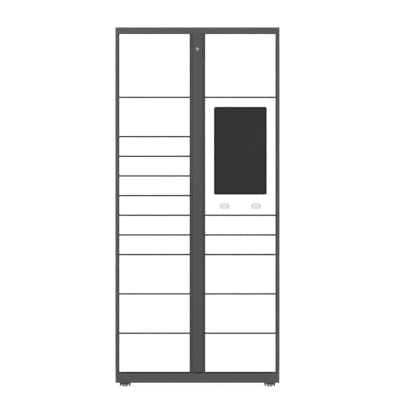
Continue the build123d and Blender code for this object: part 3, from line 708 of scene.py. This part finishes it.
def add_computer_fittings():
    """Mounting ears, screws and sockets of the computer and the power supply."""
    ear_wide, ear_tall, corner, thick = 20 * MM, 18 * MM, 3 * MM, 2 * MM
    ear_in, ear_beyond, socket_share = 16 * MM, 8 * MM, 0.27
    ears = bmesh.new()
    sockets = bmesh.new()
    for node in ("control_computer", "power_supply"):
        low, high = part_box(node)
        for z in (low.z - ear_beyond, high.z + ear_beyond):
            for x in (low.x + ear_in, high.x - ear_in):
                add_raised(ears, on_back_inside, (x, z), ear_wide, ear_tall, corner, slab(thick))
                add_screw(ears, on_back_inside, (x, z), thick, wide=1.2)
        for step in (-1, 0, 1):
            x = (low.x + high.x) / 2 + step * (high.x - low.x) * socket_share
            corner_low = (x - 9 * MM, low.y + 12 * MM, low.z - 5 * MM)
            corner_high = (x + 9 * MM, low.y + 26 * MM, low.z + 1 * MM)
            add_block(sockets, corner_low, corner_high, SOCKET_BEVEL)
    add_piece("computer_ears", ears, "cabinet", "zinc")
    add_piece("computer_sockets", sockets, "cabinet", "electronics", SOCKET)


def anchor_places():
    """Middles of the four wall-anchor holes in the back panel."""
    pattern = MOUNTS["wall_anchors"]
    x, _, z = pattern["pos_m"]
    half_x = pattern["dims"]["spacing_x_mm"] * MM / 2
    half_z = pattern["dims"]["spacing_y_mm"] * MM / 2
    return [(x + i * half_x, z + j * half_z) for i in (-1, 1) for j in (-1, 1)]


def entry_place():
    """Middle of the mains entry in the back panel."""
    x, _, z = MOUNTS["mains_entry"]["pos_m"]
    return (x, z)


def add_back_rivets():
    """Rivets along the edges and the pillar of the back panel."""
    low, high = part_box("back_panel")
    edge, pillar = high.x - 12 * MM, 40 * MM
    bottom, top = low.z + 30 * MM, TOP - 18 * MM
    upright_pitch, row_end, row_pitch = 160 * MM, 360 * MM, 120 * MM
    rivets = bmesh.new()
    for x in (-edge, -pillar, pillar, edge):
        for z in spread(bottom, top, upright_pitch):
            add_rivet(rivets, on_back, (x, z))
    for z in (bottom, top):
        for x in spread(-row_end, row_end, row_pitch):
            add_rivet(rivets, on_back, (x, z))
    add_piece("back_rivets", rivets, "cabinet", "frame_paint")


def add_back_beads():
    """Pressed stiffening beads across both halves of the back, left out where something else is."""
    middle_x, long, wide, corner = 254 * MM, 350 * MM, 16 * MM, 7.5 * MM
    rise, slope, pitch = 2.4 * MM, 5 * MM, 152 * MM
    first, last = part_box("back_panel")[0].z + 130 * MM, TOP - 120 * MM
    entry_reach, vents_reach, anchor_reach = 60 * MM, 120 * MM, 50 * MM
    busy = [(*entry_place(), entry_reach), (*vents_place(), vents_reach)]
    busy += [(*anchor, anchor_reach) for anchor in anchor_places()]
    beads = bmesh.new()
    for side in (-1, 1):
        for z in spread(first, last, pitch):
            near = [abs(z - spot_z) < reach for spot_x, spot_z, reach in busy if side * spot_x > 0]
            if not any(near):
                add_raised(beads, on_back, (side * middle_x, z), long, wide, corner, pressed(rise, slope))
    add_piece("back_beads", beads, "cabinet", "frame_paint")


def vents_place():
    """Middle of the vent slots, straight above the mains entry."""
    return (entry_place()[0], 1.6)


def add_vent_hoods():
    """A small pressed hood over each vent slot."""
    middle_x, middle_z = vents_place()
    column_step, row_step, rows = 110 * MM, 16 * MM, 7
    long, wide, corner, above_slot = 94 * MM, 5 * MM, 2.4 * MM, 5.6 * MM
    rise, slope = 2.4 * MM, 2 * MM
    hoods = bmesh.new()
    for column in (-0.5, 0.5):
        for row in range(rows):
            z = middle_z + (row - (rows - 1) / 2) * row_step + above_slot
            centre = (middle_x + column * column_step, z)
            add_raised(hoods, on_back, centre, long, wide, corner, pressed(rise, slope))
    add_piece("vent_hoods", hoods, "cabinet", "frame_paint")


def add_wall_fittings():
    """Washers and rubber caps in the anchor holes, and the closed gland of the mains entry."""
    washers = bmesh.new()
    caps = bmesh.new()
    for anchor in anchor_places():
        add_washer(washers, on_back, anchor, 11 * MM, 5.8 * MM, 1.2 * MM)
        add_round(caps, on_back, anchor, CAP, 28)
    add_piece("anchor_washers", washers, "cabinet", "zinc")
    add_piece("anchor_caps", caps, "cabinet", "module_black", RUBBER)

    gland = bmesh.new()
    add_washer(gland, on_back, entry_place(), 19 * MM, 12.2 * MM, 2.5 * MM, 48)
    add_washer(gland, on_back, entry_place(), 16 * MM, 12.2 * MM, 5 * MM, 6)
    add_piece("gland_ring", gland, "cabinet", "module_black")
    blank = bmesh.new()
    add_round(blank, on_back, entry_place(), GLAND_BLANK, 40)
    add_piece("gland_blank", blank, "cabinet", "module_black", RUBBER)


def add_blank_plate():
    """Plain plate with four small rivets, where such a cabinet has its rating plate."""
    wide, tall, corner, thick = 92 * MM, 46 * MM, 3 * MM, 0.8 * MM
    rivet_u, rivet_v = 40 * MM, 17 * MM
    x, z = -254 * MM, vents_place()[1] + 40 * MM
    plate = bmesh.new()
    add_raised(plate, on_back, (x, z), wide, tall, corner, slab(thick))
    for u in (-rivet_u, rivet_u):
        for v in (-rivet_v, rivet_v):
            add_rivet(plate, on_back, (x + u, z + v), thick, wide=0.7)
    add_piece("blank_plate", plate, "cabinet", "electronics")


def rivet_rows():
    """The two lines of rivets along the sides and the roof, near the front frame and the back."""
    return (FRAME_BACK + 12 * MM, BACK - 12 * MM)


def add_skin_rivets():
    """Rivets along the front and back edges of both sides and the roof."""
    first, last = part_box("side_panel_left")[0].z + 30 * MM, TOP - 18 * MM
    roof_end = SIDE - 40 * MM
    rivets = bmesh.new()
    for place in (on_left_side, on_right_side):
        for y in rivet_rows():
            for z in spread(first, last, 200 * MM):
                add_rivet(rivets, place, (y, z))
    for y in rivet_rows():
        for x in spread(-roof_end, roof_end, 176 * MM):
            add_rivet(rivets, on_top, (x, y))
    add_piece("skin_rivets", rivets, "cabinet", "frame_paint")


def add_skin_presses():
    """Shallow pressed panels: three on each side and one on the roof."""
    deep, corner, between, ends, count = 380 * MM, 18 * MM, 40 * MM, 70 * MM, 3
    roof_wide, roof_y = 860 * MM, 10 * MM
    levels = pressed(1.2 * MM, 7 * MM)
    low_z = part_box("side_panel_left")[0].z
    middle_y = (FRAME_BACK + BACK) / 2
    tall = (TOP - low_z - 2 * ends) / count
    presses = bmesh.new()
    for place in (on_left_side, on_right_side):
        for step in range(count):
            centre = (middle_y, low_z + ends + tall * (step + 0.5))
            add_raised(presses, place, centre, deep, tall - between, corner, levels)
    add_raised(presses, on_top, (0, roof_y), roof_wide, deep, corner, levels)
    add_piece("skin_presses", presses, "cabinet", "frame_paint")


def add_skin_seams():
    """Sealed seams where the sides and the roof meet the front frame."""
    wide, corner, shorter, levels = 1.4 * MM, 0.6 * MM, 3 * MM, slab(0.3 * MM)
    low_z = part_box("side_panel_left")[0].z
    middle = (FRAME_BACK, (low_z + TOP) / 2)
    seams = bmesh.new()
    for place in (on_left_side, on_right_side):
        add_raised(seams, place, middle, wide, TOP - low_z - shorter, corner, levels)
    add_raised(seams, on_top, (0, FRAME_BACK), 2 * SIDE - shorter, wide, corner, levels)
    add_piece("skin_seams", seams, "cabinet", "frame_paint", FOAM)


def add_pillar_cover_details():
    """Black foam ring round the service lock, darkening the edge of its hole, and a stiffener on the inside
    of the pillar cover.
    """
    outer, inner, thick = 11.5 * MM, 9.7 * MM, 0.5 * MM
    low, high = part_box("lock_barrel")
    lock_z = (low.z + high.z) / 2
    dark_ring = bmesh.new()
    add_washer(dark_ring, on_front, (0, lock_z), outer, inner, thick, 40)
    add_piece("lock_dark_ring", dark_ring, "pillar_cover", "module_black", FOAM)

    middle_x, wide, corner, rise, slope = 4 * MM, 22 * MM, 4 * MM, 5 * MM, 4 * MM
    bottom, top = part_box("pillar_cover")[0].z + 40 * MM, lock_z - 60 * MM
    middle = (middle_x, (bottom + top) / 2)
    stiffener = bmesh.new()
    add_raised(stiffener, on_cover_inside, middle, wide, top - bottom, corner, pressed(rise, slope))
    add_piece("pillar_cover_stiffener", stiffener, "pillar_cover", "frame_paint")


def foot_middle(name):
    """Middle of a foot on the floor, and the height of its lowest point."""
    low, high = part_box(name)
    return ((low.x + high.x) / 2, (low.y + high.y) / 2), low.z


def add_foot_pad(name):
    """Rubber pad under one foot."""
    centre, ground = foot_middle(name)
    pad = bmesh.new()
    add_round(pad, lambda u, v, height: (u, v, ground + height), centre, FOOT_PAD, 40)
    add_piece(f"{name}_pad", pad, name, "module_black", RUBBER)


def add_foot_knurls(name):
    """Teeth round the wheel that turns one foot."""
    centre, ground = foot_middle(name)
    knurls = bmesh.new()
    rings = [knurled_ring(centre, ground + rise, proud) for rise, proud in KNURL_LEVELS]
    join_rings(knurls, rings, capped=True)
    # The teeth take the feet's darker copy of the zinc, which is painted shade.
    add_piece(f"{name}_knurls", knurls, name, "zinc", SHADED_FEET_ZINC, crease=20.0)


def knurled_ring(centre, z, proud):
    """Points round the foot's wheel, two out and two in for each tooth."""
    teeth, root = 24, 0.1 * MM
    points = []
    for step in range(4 * teeth):
        angle = math.pi / 2 * step / teeth
        radius = WHEEL_RADIUS + (proud if step % 4 < 2 else root)
        points.append((centre[0] + radius * math.cos(angle), centre[1] + radius * math.sin(angle), z))
    return points


def add_foot_gussets():
    """Gusset plates welded outside both cheeks beside each foot, wider towards the base."""
    cheek_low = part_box("base_frame")[0].z
    base_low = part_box("side_panel_left")[0].z
    cheek_out, thick, edge = 27.9 * MM, 3.1 * MM, 0.4 * MM
    gussets = bmesh.new()
    for name in FEET:
        (x, y), _ = foot_middle(name)
        for side in (-1, 1):
            rings = []
            for proud, inset in ((0.0, 0.0), (thick - edge, 0.0), (thick, edge)):
                outline = gusset_outline(cheek_low + inset, base_low, inset)
                rings.append([(x + side * (cheek_out + proud), y + v, z) for v, z in outline])
            join_rings(gussets, rings, capped=True)
    add_piece("foot_gussets", gussets, "cabinet", "frame_paint")


def gusset_outline(low, high, inset):
    """Outline of a gusset, as (distance along Y, height), narrower at its lower end."""
    wide, narrow = 22.5 * MM - inset, 15.0 * MM - inset
    shoulder = high - 7 * MM
    return [(-narrow, low), (narrow, low), (wide, shoulder), (wide, high), (-wide, high), (-wide, shoulder)]


add_seals_and_gap_shade()
for column, side in COLUMNS.items():
    for door in door_names(column):
        if door != "control_panel":
            add_door_liner(door, side)
            add_striker_plate(door, side)
add_striker_plate("control_panel", COLUMNS["right"])
add_control_panel_bars()
add_display_clamps()
add_panel_sockets()
add_lock_case_fittings()
add_computer_fittings()
add_back_rivets()
add_back_beads()
add_vent_hoods()
add_wall_fittings()
add_blank_plate()
add_skin_rivets()
add_skin_presses()
add_skin_seams()
add_pillar_cover_details()
for foot in FEET:
    add_foot_pad(foot)
    add_foot_knurls(foot)
add_foot_gussets()


# Stage ------------------------------------------------------------------------


def make_floor():
    """Pale floor, bright enough to run into the white surroundings."""
    mesh = bpy.data.meshes.new("studio_floor")
    reach = 9.0
    corners = [(-reach, -reach, 0), (reach, -reach, 0), (reach, reach, 0), (-reach, reach, 0)]
    mesh.from_pydata(corners, [], [(0, 1, 2, 3)])
    floor = bpy.data.objects.new("studio_floor", mesh)
    bpy.context.collection.objects.link(floor)
    shader = Shader("studio_floor")
    shader.link(shader.mix(shader.noise(2.0), (0.24, 0.24, 0.24), (0.27, 0.27, 0.27)), "Base Color")
    shader.set(Roughness=0.9, Emission_Strength=0.88, Emission_Color=(1.0, 1.0, 1.0, 1.0))
    mesh.materials.append(shader.material)


def make_world():
    """White surroundings: pure white behind the object, and under half as bright as its light."""
    as_light, behind = 0.42, 1.05
    world = bpy.data.worlds.new("studio")
    bpy.context.scene.world = world
    world.use_nodes = True
    tree = world.node_tree
    path = tree.nodes.new("ShaderNodeLightPath")
    strength = tree.nodes.new("ShaderNodeMapRange")
    strength.inputs["To Min"].default_value = as_light
    strength.inputs["To Max"].default_value = behind
    tree.links.new(path.outputs["Is Camera Ray"], strength.inputs["Value"])
    background = tree.nodes["Background"]
    background.inputs["Color"].default_value = (1.0, 1.0, 1.0, 1.0)
    tree.links.new(strength.outputs["Result"], background.inputs["Strength"])


def add_area(name, place, target, size, power):
    """A square soft light that looks at its target."""
    light = bpy.data.lights.new(name, "AREA")
    light.size = size
    light.energy = power
    lamp = bpy.data.objects.new(name, light)
    bpy.context.collection.objects.link(lamp)
    lamp.location = place
    lamp.rotation_euler = (Vector(target) - Vector(place)).to_track_quat("-Z", "Y").to_euler()


def make_lights():
    """A soft key in front, a weak fill, and lights that graze the roof, back and sides."""
    centre = (0.0, 0.0, 1.2)
    add_area("key", (-1.9, -5.3, 3.3), centre, 2.2, 168.0)
    add_area("fill", (3.0, -7.5, 1.6), centre, 3.0, 30.0)
    add_area("rear_top", (-0.8, 1.8, 5.2), centre, 1.2, 170.0)
    add_area("rear_left", (-3.4, 2.4, 3.6), centre, 1.6, 40.0)
    add_area("rear_right", (3.4, 2.4, 3.6), centre, 1.6, 90.0)


def make_camera():
    """Long lens far in front: almost no perspective, as in a catalogue front view."""
    across, distance = 2.34, 60.0
    centre_x, centre_z = 0.0150, 1.0913
    data = bpy.data.cameras.new("camera")
    data.sensor_width = 36.0
    data.lens = data.sensor_width * distance / across
    data.clip_start = 1.0
    data.clip_end = 200.0
    camera = bpy.data.objects.new("camera", data)
    bpy.context.collection.objects.link(camera)
    camera.location = (centre_x, FRONT - distance, centre_z)
    camera.rotation_euler = (math.radians(90), 0, 0)
    bpy.context.scene.camera = camera


make_floor()
make_world()
make_lights()
make_camera()
bpy.context.scene.view_settings.view_transform = "Standard"
